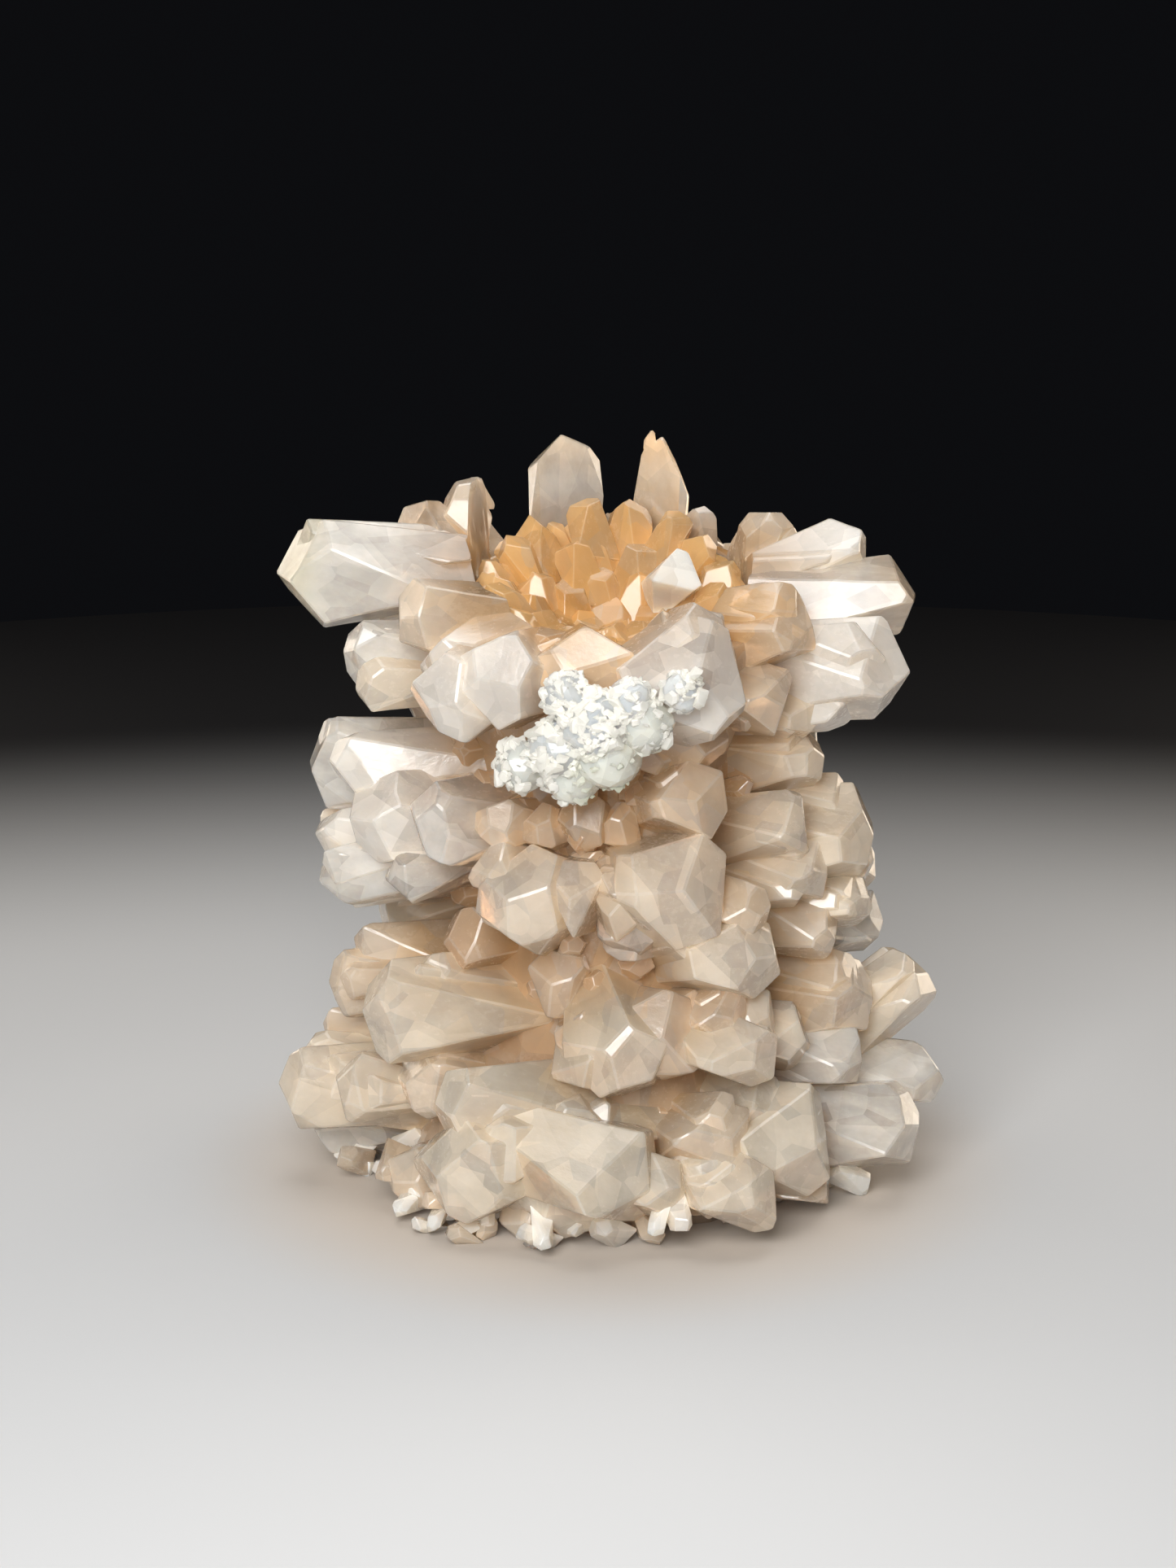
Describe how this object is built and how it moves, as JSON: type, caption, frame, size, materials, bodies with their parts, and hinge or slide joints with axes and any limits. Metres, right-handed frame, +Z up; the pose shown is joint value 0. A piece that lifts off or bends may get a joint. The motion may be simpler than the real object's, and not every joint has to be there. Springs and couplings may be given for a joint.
{
  "type": "calcite specimen",
  "caption": "Column of blocky translucent calcite crystals in tiers, with a flaring crown round a honey-coloured hollow and a flat-cut foot.",
  "frame": {"origin": "centre of the flat-cut foot, on the surface it rests on", "axes": "+Z up along the column, -Y towards the front"},
  "size_m": [0.0949, 0.0851, 0.1028],
  "materials": {
    "calcite": "satin, translucent pale peach to clear",
    "honey_calcite": "satin, translucent honey"
  },
  "bodies": {
    "root": {"calcite_cluster": "calcite", "crown_crust": "honey_calcite"}
  },
  "joints": []
}
